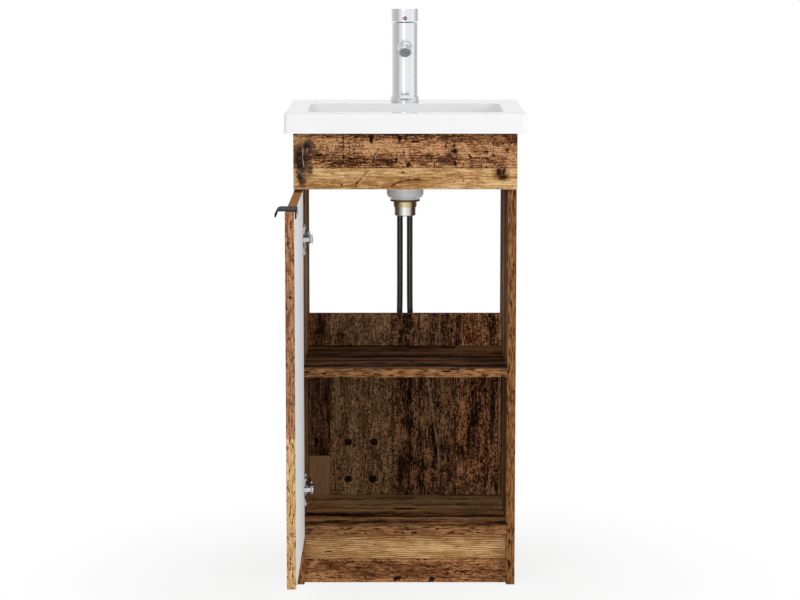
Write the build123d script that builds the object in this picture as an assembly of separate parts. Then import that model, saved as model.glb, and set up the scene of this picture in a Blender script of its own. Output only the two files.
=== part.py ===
from build123d import *
import math
import os

# Free-standing vanity unit with a basin, a single-lever tap and one door that stands open.
# Millimetres. X to the right, Y from the front to the back, Z up.
# The origin is on the floor, in the middle of the width, under the middle of the plinth's thickness.
# The pieces are drawn from the side panels' front edges, and are moved to the origin when they are written.

# Cabinet boards
BOARD = 15.0
CABINET_W = 385.0
CABINET_D = 330.0
CABINET_H = 797.0
APRON_H = 97.0
PLINTH_H = 90.0
PLINTH_SETBACK = 16.0
SHELF_Z = 370.0
BACK_SETBACK = 65.0
BACK_TOP = 444.0
RAIL_H = 85.0
RAIL_DROP = 22.0

# Holes in the rear rail for the screws into the wall
WALL_HOLE_R = 3.0
WALL_HOLE_SPACING = 240.0

# Board fasteners
CAM_R = 7.5
CAM_H = 12.0
CAM_REACH = 24.0
CAM_SLOT_HALF = 3.9
CAM_CROSS_W = 1.2
BOLT_THREAD_R = 3.0
BOLT_THREAD_L = 11.0
BOLT_SHANK_R = 2.5
BOLT_HEAD_R = 3.5
BOLT_HEAD_L = 4.0
BOLT_PAST_CAM = 1.0
BOLT_BORE_R = 3.8
DOWEL_R = 4.0
DOWEL_SHORT = 10.0
DOWEL_LONG = 20.0
CAM_INSET = 50.0
DOWEL_INSET = 82.0
EDGE_INSET = 15.0
HOLE_CLEARANCE = 0.1
HOLE_OVERDEPTH = 0.5

# Door and its swing
DOOR_T = 15.0
DOOR_SIDE_GAP = 3.0
DOOR_TOP_GAP = 3.0
DOOR_PAST_PLINTH = 2.0
DOOR_GAP = 2.0
SWING_FROM_EDGE = 5.0
SWING_FROM_INNER_FACE = 8.0
OPEN_TURN = -90.0
BUMPER_R = 4.5
BUMPER_INSET = 9.0

# Edge-pull handle, bent from strip
STRIP_T = 2.0
HANDLE_L = 65.0
HANDLE_INSET = 25.0
HANDLE_LIP = 12.0
HANDLE_REACH = 17.5
HANDLE_DROP = 9.5
HANDLE_BEND_R = 7.0
HANDLE_FOLD_EASE = 0.01
HANDLE_SCREW_INSET = 12.0
HANDLE_SCREW_DROP = 6.5

# Concealed hinges
HINGE_FROM_DOOR_END = 84.5
CUP_R = 17.5
CUP_WALL = 1.0
CUP_DEPTH = 11.5
CUP_RIM = 1.2
CUP_FROM_EDGE = 20.5
FLANGE_T = 3.0
FLANGE_H = 50.0
FLANGE_W = 18.5
FLANGE_SHIFT = 2.25
FLANGE_CORNER_R = 6.0
FLANGE_SCREW_OFFSET = 21.3
CUP_PIN_R = 0.9
CUP_PIN_ALONG = 4.5
CUP_PIN_UP = 6.5
PLATE_T = 2.2
PLATE_H = 44.0
PLATE_L = 18.0
PLATE_FROM_FRONT = 37.0
PLATE_SCREW_OFFSET = 16.0
PLATE_RIB_H = 7.0
PLATE_RIB_HALF = 5.0
ARM_T = 1.2
ARM_INNER_HALF = 5.3
ARM_FRONT = 13.0
ARM_BACK = 62.0
ARM_OUT = 11.0
ARM_EYE_R = 4.2
ARM_PIN_R = 1.5
ARM_PIN_X = 20.7
ARM_PIN_Y = 3.8
LINK_HALF = 3.5
FORK_HALF = 1.7
FORK_PRONG = 0.9
FORK_PAST_PIN = 0.8
RUNNING = 0.05
ADJUSTER_R = 3.2
ADJUSTER_H = 2.0
ADJUSTER_FROM_ENDS = 12.0

# Screws
SCREW_R = 1.6
SCREW_HEAD_R = 3.0
SCREW_HEAD_H = 1.5
SCREW_L = 11.5

# Basin
BASIN_W = 415.0
BASIN_H = 35.0
BASIN_OVERHANG = 30.0
BASIN_BEHIND_CABINET = 35.0
BASIN_CORNER_R = 6.0
BASIN_EDGE_R = 3.0
DECK_T = 13.0
SKIRT_T = 36.0
BOWL_INSET = 31.5
BOWL_W = 342.0
BOWL_D = 237.0
BOWL_CORNER_R = 20.0
BOWL_DEPTH = 110.0
BOWL_FLOOR_W = 250.0
BOWL_FLOOR_D = 140.0
BOWL_FLOOR_CORNER_R = 34.0
BOWL_FLOOR_EDGE_R = 18.0
BOWL_MOUTH_R = 3.0
BOWL_WALL = 9.0
TAP_HOLE_R = 17.5
TAP_FROM_REAR = 58.0

# Waste
OUTLET_R = 21.0
OUTLET_DROP = 49.8
BOSS_R = 32.8
BOSS_END_R = 25.5
BOSS_TAPER_H = 7.3
BOSS_SHOULDER_R = 8.0
BOSS_END_EDGE_R = 1.5
SEAT_RECESS = 2.0
FLANGE_RING_R = 33.0
FLANGE_RING_T = 4.5
FLANGE_RING_EDGE_R = 2.0
WASTE_TUBE_R = 17.5
WASTE_BORE_R = 14.0
WASTE_TUBE_BELOW = 18.0
PLUG_R = 20.3
PLUG_T = 3.4
PLUG_SEAT_T = 1.5
PLUG_STEM_R = 3.0
PLUG_STEM_L = 40.0
PLUG_GAP = 0.3
SEAL_IN_R = 15.0
SEAL_OUT_R = 18.0
SEAL_T = 1.0
SPIDER_DROP = 20.0
SPIDER_H = 8.0
SPIDER_ARM = 3.0
SPIDER_BARS = 3
LATCH_R = 5.5
LATCH_L = 30.0
GASKET_R = 26.3
GASKET_T = 3.5
GASKET_EDGE_R = 1.5
NUT_R = 20.5
NUT_H = 9.6
TAIL_R = 18.75
TAIL_L = 16.0
TAIL_BORE_R = 15.0
TAIL_CHAMFER = 1.2

# Tap
BASE_RING_R = 26.0
BASE_RING_H = 7.0
BASE_CONE_H = 5.5
BASE_GAP = 0.3
BODY_R = 23.4
BODY_TOP = 144.4
BODY_EDGE_R = 1.0
SEAL_DISC_T = 1.5
CAVITY_R = 18.0
CAVITY_LOW = 98.0
SPOUT_R = 13.5
SPOUT_HEIGHT = 102.5
SPOUT_REACH = 75.0
OUTLET_TILT = 38.0
OUTLET_L = 15.0
OUTLET_TUBE_R = 12.0
WATERWAY_R = 6.0
INLET_R = 3.0
AERATOR_R = 9.0
AERATOR_RING_R = 11.2
AERATOR_RING_L = 5.0
AERATOR_SET_BACK = 0.8
CAP_R = 24.6
CAP_H = 24.0
CAP_GAP = 1.0
CAP_WALL = 2.5
CAP_EDGE_R = 1.5
LEVER_R = 5.0
LEVER_L = 38.0
LEVER_FROM_TOP = 7.8
INDEX_R = 4.0
INDEX_T = 1.5
INDEX_FROM_TOP = 17.3
GRUB_R = 2.0
GRUB_L = 6.0
CARTRIDGE_R = 17.7
CARTRIDGE_L = 38.0
CARTRIDGE_BORE_R = 12.5
GUIDE_R = 12.2
GUIDE_L = 30.0
GUIDE_SLOT_X = 5.0
GUIDE_SLOT_Y = 14.0
STEM_HALF = 4.0
STEM_LOW = 8.0
CARTRIDGE_NUT_IN_R = 13.0

# Tap fixing under the deck
STUD_R = 4.0
STUD_BACK = -11.0
STUD_L = 80.0
STUD_IN_BODY = 16.0
HORSESHOE_R = 24.0
HORSESHOE_T = 3.0
HORSESHOE_SLOT_HALF = 16.0
HORSESHOE_SLOT_FROM = -6.0
STUD_NUT_R = 7.5
STUD_NUT_H = 12.0

# Hoses
HOSE_R = 5.5
HOSE_SPACING = 18.2
TAIL_THREAD_R = 4.9
TAIL_THREAD_L = 10.0
FERRULE_R = 6.0
FERRULE_L = 27.4
HOSE_NUT_R = 12.0
HOSE_NUT_H = 15.0
HOSE_NUT_COLLAR_R = 7.5
HOSE_NUT_COLLAR_H = 6.0
HOSE_THREAD_R = 9.5
HOSE_THREAD_DEPTH = 11.0
ARC_SHARE = 0.45
# Each row is one point of the right hose: across from the hose's place, along Y from the tap, down from the
# ferrule's end. The left hose is its mirror image.
HOSE_ROUTE = [
    (0.0, 0.0, 0.0),
    (0.0, 0.0, 105.0),
    (0.3, 0.5, 220.0),
    (0.2, 0.3, 335.0),
    (1.9, 0.5, 372.0),
    (4.3, 1.0, 400.0),
    (6.2, 1.3, 426.0),
]

# Places that follow from the sizes above
SIDE_IN = CABINET_W / 2 - BOARD
BACK_Y = CABINET_D - BACK_SETBACK
APRON_LOW = CABINET_H - APRON_H
RAIL_TOP = CABINET_H - RAIL_DROP
RAIL_LOW = RAIL_TOP - RAIL_H
DOOR_W = CABINET_W - 2 * DOOR_SIDE_GAP
DOOR_TOP = APRON_LOW - DOOR_TOP_GAP
DOOR_LOW = PLINTH_H - DOOR_PAST_PLINTH
DOOR_EDGE_X = -DOOR_W / 2
DOOR_OUT_Y = -DOOR_GAP - DOOR_T
SWING_X = DOOR_EDGE_X + SWING_FROM_EDGE
SWING_Y = -DOOR_GAP - SWING_FROM_INNER_FACE
HINGE_HEIGHTS = {"upper": DOOR_TOP - HINGE_FROM_DOOR_END, "lower": DOOR_LOW + HINGE_FROM_DOOR_END}
CUP_X = DOOR_EDGE_X + CUP_FROM_EDGE
CUP_PIN = (SWING_X + CUP_PIN_ALONG, SWING_Y + CUP_PIN_UP)
ARM_PIN = (SWING_X + ARM_PIN_X, SWING_Y + ARM_PIN_Y)
DECK_Z = CABINET_H + BASIN_H
BASIN_Y = (-BASIN_OVERHANG, CABINET_D + BASIN_BEHIND_CABINET)
DRAIN_Y = BASIN_Y[0] + BOWL_INSET + BOWL_D / 2
FLOOR_Z = DECK_Z - BOWL_DEPTH
SEAT_Z = FLOOR_Z - SEAT_RECESS
OUTLET_Z = SEAT_Z - OUTLET_DROP
GASKET_Z = OUTLET_Z - GASKET_T
NUT_Z = GASKET_Z - NUT_H
TAP_Y = BASIN_Y[1] - TAP_FROM_REAR
DECK_UNDER_Z = DECK_Z - DECK_T
BODY_LOW_Z = DECK_Z + SEAL_DISC_T
BODY_TOP_Z = DECK_Z + BODY_TOP
CAP_LOW_Z = BODY_TOP_Z + CAP_GAP
CAP_TOP_Z = CAP_LOW_Z + CAP_H
FERRULE_LOW_Z = BODY_LOW_Z - FERRULE_L
STUD_Y = TAP_Y + STUD_BACK
OUTLET_DIR = (0, -math.cos(math.radians(OUTLET_TILT)), -math.sin(math.radians(OUTLET_TILT)))
ELBOW = (0, TAP_Y - SPOUT_REACH, DECK_Z + SPOUT_HEIGHT)
ORIGIN_Y = PLINTH_SETBACK + BOARD / 2


def span(x, y, z):
    """Box that fills the three ranges."""
    ranges = (x, y, z)
    middle = [(low + high) / 2 for low, high in ranges]
    return Pos(*middle) * Box(*[high - low for low, high in ranges])


def rod(start, direction, radius, length):
    """Cylinder from a point along a direction."""
    foot = (Align.CENTER, Align.CENTER, Align.MIN)
    return Plane(origin=start, z_dir=direction) * Cylinder(radius, length, align=foot)


def disc(x, y, low, high, radius):
    """Upright cylinder between two heights."""
    return rod((x, y, low), (0, 0, 1), radius, high - low)


def tube(x, y, low, high, outer, inner):
    """Upright tube between two heights."""
    return disc(x, y, low, high, outer) - disc(x, y, low, high, inner)


def cone(x, y, low, high, low_radius, high_radius):
    """Upright cone between two heights."""
    foot = (Align.CENTER, Align.CENTER, Align.MIN)
    return Pos(x, y, low) * Cone(low_radius, high_radius, high - low, align=foot)


def pan_screw(head_face, into):
    """Screw whose head stands on the face at the given point."""
    out = tuple(-part for part in into)
    return rod(head_face, into, SCREW_R, SCREW_L) + rod(head_face, out, SCREW_HEAD_R, SCREW_HEAD_H)


def screw_hole(head_face, into):
    """Hole for the screw, a little wider and deeper than its shaft."""
    return rod(head_face, into, SCREW_R + HOLE_CLEARANCE, SCREW_L + HOLE_OVERDEPTH)


def opened(shape):
    """The shape, drawn on the closed door, where it stands with the door open."""
    return shape.rotate(Axis((SWING_X, SWING_Y, 0), (0, 0, 1)), OPEN_TURN)


def board_joints():
    """Kind, plane and two boards of each joint.

    The plane's origin is on the joint, its X runs into the second board, and its Z points out of the face
    that the cam disc is drilled from.
    """
    joints = []
    for side, name in ((-1, "side_panel_left"), (1, "side_panel_right")):
        inward = (-side, 0, 0)
        face_x = side * SIDE_IN

        def joint(kind, y, z, second, cam_face):
            plane = Plane(origin=(face_x, y, z), x_dir=inward, z_dir=cam_face)
            joints.append((kind, plane, name, second))

        for board, middle_z in (("bottom_panel", PLINTH_H + BOARD / 2), ("shelf", SHELF_Z + BOARD / 2)):
            for kind, inset in (("cam", CAM_INSET), ("dowel", DOWEL_INSET)):
                joint(kind, inset, middle_z, board, (0, 0, -1))
                joint(kind, BACK_Y - inset, middle_z, board, (0, 0, -1))
        for kind, inset in (("cam", CAM_INSET), ("dowel", DOWEL_INSET)):
            joint(kind, BACK_Y + BOARD / 2, PLINTH_H + inset, "back_panel", (0, 1, 0))
            joint(kind, BACK_Y + BOARD / 2, BACK_TOP - inset, "back_panel", (0, 1, 0))
        joint("cam", CABINET_D - BOARD / 2, RAIL_TOP - EDGE_INSET, "rear_rail", (0, 1, 0))
        joint("dowel", CABINET_D - BOARD / 2, RAIL_LOW + EDGE_INSET, "rear_rail", (0, 1, 0))
        for height in (EDGE_INSET, PLINTH_H - EDGE_INSET):
            joint("dowel", PLINTH_SETBACK + BOARD / 2, height, "plinth", (0, 1, 0))
        edge_x = face_x + side * BOARD / 2
        for kind, height in (
            ("dowel", APRON_LOW + EDGE_INSET),
            ("cam", APRON_LOW + APRON_H / 2),
            ("dowel", CABINET_H - EDGE_INSET),
        ):
            plane = Plane(origin=(edge_x, 0, height), x_dir=(0, 1, 0), z_dir=inward)
            joints.append((kind, plane, "apron", name))
    return joints


def along(plane, start, end, radius):
    """Cylinder on the joint's X axis between two distances from the joint."""
    return plane * rod((start, 0, 0), (1, 0, 0), radius, end - start)


def joint_cuts(kind, plane):
    """What the joint takes out of its first and its second board."""
    if kind == "dowel":
        radius = DOWEL_R + HOLE_CLEARANCE
        short = DOWEL_SHORT + HOLE_OVERDEPTH
        long = DOWEL_LONG + HOLE_OVERDEPTH
        return along(plane, -short, 0, radius), along(plane, 0, long, radius)
    first = along(plane, -BOLT_THREAD_L - HOLE_OVERDEPTH, 0, BOLT_THREAD_R + HOLE_CLEARANCE)
    pocket_low = BOARD / 2 - CAM_H - HOLE_OVERDEPTH
    pocket = disc(CAM_REACH, 0, pocket_low, BOARD / 2, CAM_R + HOLE_CLEARANCE)
    return first, along(plane, 0, CAM_REACH, BOLT_BORE_R) + plane * pocket


def cam_bolt(plane):
    """Connecting bolt: thread in the first board, head in the cam."""
    head_from = CAM_REACH - BOLT_HEAD_L + BOLT_PAST_CAM
    thread = along(plane, -BOLT_THREAD_L, 0, BOLT_THREAD_R)
    shank = along(plane, 0, head_from, BOLT_SHANK_R)
    return thread + shank + along(plane, head_from, head_from + BOLT_HEAD_L, BOLT_HEAD_R)


def cam_disc(plane):
    """Cam disc with the slot that takes the bolt's head and a cross for the screwdriver."""
    top = BOARD / 2 - HOLE_CLEARANCE
    body = disc(CAM_REACH, 0, BOARD / 2 - CAM_H, top, CAM_R)
    slot_range = (-CAM_SLOT_HALF, CAM_SLOT_HALF)
    slot = span((CAM_REACH - 2 * CAM_R, CAM_REACH + CAM_SLOT_HALF), slot_range, slot_range)
    cross = (CAM_R / 2, CAM_CROSS_W / 2)
    for half_x, half_y in (cross, reversed(cross)):
        body -= span((CAM_REACH - half_x, CAM_REACH + half_x), (-half_y, half_y), (top - CAM_CROSS_W, top))
    return plane * (body - slot)


def cabinet_boards():
    """The boards of the cabinet before they are drilled."""
    boards = {}
    for side, name in ((-1, "side_panel_left"), (1, "side_panel_right")):
        edges = sorted((side * SIDE_IN, side * CABINET_W / 2))
        boards[name] = span(edges, (0, CABINET_D), (0, CABINET_H))
    inside = (-SIDE_IN, SIDE_IN)
    plinth_y = (PLINTH_SETBACK, PLINTH_SETBACK + BOARD)
    boards["bottom_panel"] = span(inside, (0, BACK_Y), (PLINTH_H, PLINTH_H + BOARD))
    boards["shelf"] = span(inside, (0, BACK_Y), (SHELF_Z, SHELF_Z + BOARD))
    boards["back_panel"] = span(inside, (BACK_Y, BACK_Y + BOARD), (PLINTH_H, BACK_TOP))
    boards["plinth"] = span(inside, plinth_y, (0, PLINTH_H))
    boards["apron"] = span((-CABINET_W / 2, CABINET_W / 2), (-BOARD, 0), (APRON_LOW, CABINET_H))
    rail = span(inside, (CABINET_D - BOARD, CABINET_D), (RAIL_LOW, RAIL_TOP))
    for side in (-1, 1):
        hole_foot = (side * WALL_HOLE_SPACING / 2, CABINET_D - BOARD, (RAIL_LOW + RAIL_TOP) / 2)
        rail -= rod(hole_foot, (0, 1, 0), WALL_HOLE_R, BOARD)
    boards["rear_rail"] = rail
    return boards


def plate_screw_points():
    """Where the mounting plates' screw heads stand."""
    face_x = -SIDE_IN + PLATE_T
    return [
        (face_x, PLATE_FROM_FRONT, height + side * PLATE_SCREW_OFFSET)
        for height in HINGE_HEIGHTS.values()
        for side in (-1, 1)
    ]


def cabinet():
    """Drilled boards and the fasteners that join them."""
    boards = cabinet_boards()
    bolts, discs, dowels = [], [], []
    for kind, plane, first, second in board_joints():
        first_cut, second_cut = joint_cuts(kind, plane)
        boards[first] -= first_cut
        boards[second] -= second_cut
        if kind == "dowel":
            dowels.append(along(plane, -DOWEL_SHORT, DOWEL_LONG, DOWEL_R))
        else:
            bolts.append(cam_bolt(plane))
            discs.append(cam_disc(plane))
    for point in plate_screw_points():
        boards["side_panel_left"] -= screw_hole(point, (-1, 0, 0))
    return {**boards, "cam_bolts": bolts, "cam_discs": discs, "dowels": dowels}


# Door, drawn closed. The hinge side is on the left.
def flange_screw_points():
    """Where the cup flanges' screw heads stand on the closed door."""
    return [
        (CUP_X + FLANGE_SHIFT, -DOOR_GAP + FLANGE_T, height + side * FLANGE_SCREW_OFFSET)
        for height in HINGE_HEIGHTS.values()
        for side in (-1, 1)
    ]


def handle_screw_points():
    """Where the handle's screw heads stand on the closed door."""
    free_x = DOOR_W / 2 - HANDLE_INSET
    return [
        (x, -DOOR_GAP + STRIP_T, DOOR_TOP - HANDLE_SCREW_DROP)
        for x in (free_x - HANDLE_SCREW_INSET, free_x - HANDLE_L + HANDLE_SCREW_INSET)
    ]


def door_panel():
    panel = span((DOOR_EDGE_X, DOOR_W / 2), (DOOR_OUT_Y, -DOOR_GAP), (DOOR_LOW, DOOR_TOP))
    for height in HINGE_HEIGHTS.values():
        depth = CUP_DEPTH + HOLE_OVERDEPTH
        panel -= rod((CUP_X, -DOOR_GAP, height), (0, -1, 0), CUP_R + HOLE_CLEARANCE, depth)
    for point in flange_screw_points() + handle_screw_points():
        panel -= screw_hole(point, (0, -1, 0))
    return panel


def door_handle():
    """Strip bent over the door's top edge: lip on the inner face, hook past the outer face."""
    half = STRIP_T / 2
    lip_y = -DOOR_GAP + half
    top_z = DOOR_TOP + half
    hook_y = DOOR_OUT_Y - HANDLE_REACH + half
    path = FilletPolyline(
        (lip_y, DOOR_TOP - HANDLE_LIP),
        (lip_y, top_z),
        (hook_y, top_z),
        (hook_y, DOOR_TOP - HANDLE_DROP),
        radius=[half + HANDLE_FOLD_EASE, HANDLE_BEND_R],
    )
    face = Plane(origin=(DOOR_W / 2 - HANDLE_INSET - HANDLE_L, 0, 0), x_dir=(0, 1, 0), z_dir=(1, 0, 0))
    handle = face * extrude(trace(path, STRIP_T), amount=HANDLE_L)
    for point in handle_screw_points():
        handle -= screw_hole(point, (0, -1, 0))
    return handle


def door_bumpers():
    """Two soft pads on the inner face, at the corners of the free side."""
    x = DOOR_W / 2 - BUMPER_INSET
    heights = (DOOR_LOW + BUMPER_INSET, DOOR_TOP - 2 * HANDLE_LIP - BUMPER_INSET)
    return [rod((x, -DOOR_GAP, z), (0, 1, 0), BUMPER_R, DOOR_GAP - HOLE_CLEARANCE) for z in heights]


# Hinges. The cup and its pin are drawn on the closed door, the arm and the plate on the side panel.
def hinge_cup(height):
    """Cup sunk in the door, with a rim and a flange on the door's inner face."""
    mouth = (CUP_X, -DOOR_GAP, height)
    cup = rod(mouth, (0, -1, 0), CUP_R, CUP_DEPTH) + rod(mouth, (0, 1, 0), CUP_R, CUP_RIM)
    outline = RectangleRounded(FLANGE_W, FLANGE_H, FLANGE_CORNER_R)
    face = Plane(origin=(CUP_X + FLANGE_SHIFT, -DOOR_GAP, height), x_dir=(1, 0, 0), z_dir=(0, 1, 0))
    cup += extrude(face * outline, amount=FLANGE_T)
    hollow_foot = (CUP_X, -DOOR_GAP - CUP_DEPTH + CUP_WALL, height)
    cup -= rod(hollow_foot, (0, 1, 0), CUP_R - CUP_WALL, CUP_DEPTH + FLANGE_T)
    for point in flange_screw_points():
        cup -= screw_hole(point, (0, -1, 0))
    return cup - cup_pin(height, HOLE_CLEARANCE / 2)


def cup_pin(height, grow=0.0):
    """Pin across the cup that runs in the link's fork."""
    across = math.sqrt((CUP_R - CUP_WALL) ** 2 - (CUP_X - CUP_PIN[0]) ** 2)
    half = across + CUP_WALL / 2
    return disc(*CUP_PIN, height - half, height + half, CUP_PIN_R + grow)


def hinge_plate(height):
    """Winged mounting plate with the rib that carries the arm."""
    face = Plane(origin=(-SIDE_IN, PLATE_FROM_FRONT, height), x_dir=(0, 1, 0), z_dir=(1, 0, 0))
    wings = extrude(face * RectangleRounded(PLATE_L, PLATE_H, FLANGE_CORNER_R), amount=PLATE_T)
    rib_half = PLATE_RIB_HALF
    rib_x = (-SIDE_IN, -SIDE_IN + PLATE_RIB_H)
    plate = wings + span(rib_x, (ARM_FRONT, ARM_BACK), (height - rib_half, height + rib_half))
    for point in plate_screw_points():
        plate -= screw_hole(point, (-1, 0, 0))
    for point in adjuster_points(height):
        plate -= rod(point, (-1, 0, 0), SCREW_R + HOLE_CLEARANCE, ARM_OUT)
    return plate


def adjuster_points(height):
    """Where the adjusting screws' heads stand on the arm's web."""
    web_x = -SIDE_IN + ARM_OUT
    return [(web_x, y, height) for y in (ARM_FRONT + ADJUSTER_FROM_ENDS, ARM_BACK - ADJUSTER_FROM_ENDS)]


def adjusting_screw(point):
    """Screw from the arm's web into the plate's rib, with a slotted head."""
    length = ARM_OUT - PLATE_T
    head = rod(point, (1, 0, 0), ADJUSTER_R, ADJUSTER_H)
    x, y, z = point
    half = ADJUSTER_R
    slot = span((x + ADJUSTER_H / 2, x + ADJUSTER_H), (y - half, y + half), (z - ARM_T / 2, z + ARM_T / 2))
    return head - slot + rod(point, (-1, 0, 0), SCREW_R, length)


def hinge_arm(height):
    """Channel over the plate's rib, with two cheeks that reach into the cup."""
    outer_half = ARM_INNER_HALF + ARM_T
    web_x = -SIDE_IN + ARM_OUT
    cheek_x = -SIDE_IN + PLATE_T + HOLE_CLEARANCE
    eye_x, eye_y = ARM_PIN
    outline = Polyline(
        (cheek_x, ARM_BACK),
        (cheek_x, ARM_FRONT),
        (eye_x - ARM_EYE_R, eye_y + ARM_PIN_Y),
        (eye_x - ARM_EYE_R, eye_y),
        (eye_x + ARM_EYE_R, eye_y),
        (eye_x + ARM_EYE_R, eye_y + 2 * ARM_EYE_R),
        (web_x, ARM_FRONT),
        (web_x, ARM_BACK),
        close=True,
    )
    side = make_face(outline) + Pos(eye_x, eye_y) * Circle(ARM_EYE_R)
    arm = extrude(Pos(0, 0, height - outer_half) * side, amount=2 * outer_half)
    half = ARM_INNER_HALF
    x_room = (cheek_x - ARM_OUT, eye_x + 2 * ARM_EYE_R)
    arm -= span(x_room, (eye_y - 2 * ARM_EYE_R, ARM_FRONT), (height - half, height + half))
    arm -= span((x_room[0], web_x - ARM_T), (ARM_FRONT, ARM_BACK), (height - half, height + half))
    for point in adjuster_points(height):
        arm -= rod(point, (-1, 0, 0), SCREW_R + HOLE_CLEARANCE, ARM_OUT)
    return arm - arm_pin(height, HOLE_CLEARANCE / 2)


def arm_pin(height, grow=0.0):
    """Pin through the arm's two cheeks that the link turns on."""
    half = ARM_INNER_HALF + ARM_T
    return disc(*ARM_PIN, height - half, height + half, ARM_PIN_R + grow)


def hinge_link(height):
    """Link with an eye on the arm's pin and a fork on the cup's pin, with the door open.

    The fork is as deep as the cup's pin comes near the arm's pin in the middle of the swing.
    """
    swing = Vector(SWING_X, SWING_Y, 0)
    eye = Vector(*ARM_PIN, 0)
    open_pin = swing + (Vector(*CUP_PIN, 0) - swing).rotate(Axis.Z, OPEN_TURN)
    reach = open_pin - eye
    direction = math.degrees(math.atan2(reach.Y, reach.X))
    nearest = (eye - swing).length - (open_pin - swing).length
    length = reach.length + FORK_PAST_PIN
    bar = Pos(length / 2, 0) * Rectangle(length, 2 * (FORK_HALF + FORK_PRONG)) + Circle(ARM_EYE_R)
    fork = Pos((nearest + length) / 2, 0) * Rectangle(length - nearest, 2 * FORK_HALF)
    fork += Pos(nearest, 0) * Circle(FORK_HALF)
    bar -= fork + Circle(ARM_PIN_R + RUNNING)
    place = Pos(*ARM_PIN, height - LINK_HALF) * Rot(0, 0, direction)
    return place * extrude(bar, amount=2 * LINK_HALF)


def hinges():
    """Pieces of both hinges."""
    pieces = {"hinge_cup_pins": [], "hinge_arm_pins": [], "hinge_adjusting_screws": []}
    for name, height in HINGE_HEIGHTS.items():
        pieces[f"hinge_cup_{name}"] = opened(hinge_cup(height))
        pieces[f"hinge_plate_{name}"] = hinge_plate(height)
        pieces[f"hinge_arm_{name}"] = hinge_arm(height)
        pieces[f"hinge_link_{name}"] = hinge_link(height)
        pieces["hinge_cup_pins"].append(opened(cup_pin(height)))
        pieces["hinge_arm_pins"].append(arm_pin(height))
        pieces["hinge_adjusting_screws"] += [adjusting_screw(point) for point in adjuster_points(height)]
    pieces["hinge_plate_screws"] = [pan_screw(point, (-1, 0, 0)) for point in plate_screw_points()]
    pieces["hinge_cup_screws"] = [opened(pan_screw(point, (0, -1, 0))) for point in flange_screw_points()]
    return pieces


def door():
    """Door and what it carries, standing open."""
    return {
        "door_panel": opened(door_panel()),
        "door_handle": opened(door_handle()),
        "door_bumpers": [opened(bumper) for bumper in door_bumpers()],
        "handle_screws": [opened(pan_screw(point, (0, -1, 0))) for point in handle_screw_points()],
    }


# Basin
def bowl_form(grow, top_z):
    """Body of the bowl, grown outwards and downwards, up to a height."""
    slope_w = (BOWL_W - BOWL_FLOOR_W) / BOWL_DEPTH
    slope_d = (BOWL_D - BOWL_FLOOR_D) / BOWL_DEPTH
    rise = top_z - DECK_Z
    top = RectangleRounded(
        BOWL_W + slope_w * rise + 2 * grow, BOWL_D + slope_d * rise + 2 * grow, BOWL_CORNER_R + grow
    )
    floor = RectangleRounded(BOWL_FLOOR_W + 2 * grow, BOWL_FLOOR_D + 2 * grow, BOWL_FLOOR_CORNER_R + grow)
    floor_z = FLOOR_Z - grow
    bowl = loft([Pos(0, DRAIN_Y, floor_z) * floor, Pos(0, DRAIN_Y, top_z) * top])
    floor_edges = bowl.edges().group_by(Axis.Z)[0]
    return fillet(floor_edges, BOWL_FLOOR_EDGE_R + grow / 2)


def outlet_boss():
    """Round boss under the bowl, tapered to its end, with rounded edges."""
    wall = FilletPolyline(
        (BOSS_R, FLOOR_Z),
        (BOSS_R, OUTLET_Z + BOSS_TAPER_H),
        (BOSS_END_R, OUTLET_Z),
        (0, OUTLET_Z),
        radius=[BOSS_SHOULDER_R, BOSS_END_EDGE_R],
    )
    outline = wall + Polyline((0, OUTLET_Z), (0, FLOOR_Z), (BOSS_R, FLOOR_Z))
    return Pos(0, DRAIN_Y, 0) * revolve(Plane.XZ * make_face(outline), Axis.Z)


def basin():
    """Slab with a hollow underside, a bowl with an outlet boss, and a hole for the tap."""
    slab = span((-BASIN_W / 2, BASIN_W / 2), BASIN_Y, (CABINET_H, DECK_Z))
    slab = fillet(slab.edges().filter_by(Axis.Z), BASIN_CORNER_R)
    slab = fillet(slab.edges().group_by(Axis.Z)[-1], BASIN_EDGE_R)
    pocket_x = BASIN_W / 2 - SKIRT_T
    pocket_y = (BASIN_Y[0] + SKIRT_T, BASIN_Y[1] - SKIRT_T / 2)
    slab -= span((-pocket_x, pocket_x), pocket_y, (CABINET_H, DECK_UNDER_Z))
    body = slab + bowl_form(BOWL_WALL, DECK_Z - DECK_T / 2) + outlet_boss()
    body -= bowl_form(0, DECK_Z + BASIN_EDGE_R)
    deck = body.faces().sort_by(Axis.Z)[-1]
    body = fillet(deck.inner_wires()[0].edges(), BOWL_MOUTH_R)
    body -= disc(0, DRAIN_Y, SEAT_Z, FLOOR_Z, FLANGE_RING_R + HOLE_OVERDEPTH)
    body -= disc(0, DRAIN_Y, OUTLET_Z, SEAT_Z, OUTLET_R)
    return body - disc(0, TAP_Y, DECK_UNDER_Z, DECK_Z, TAP_HOLE_R)


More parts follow.
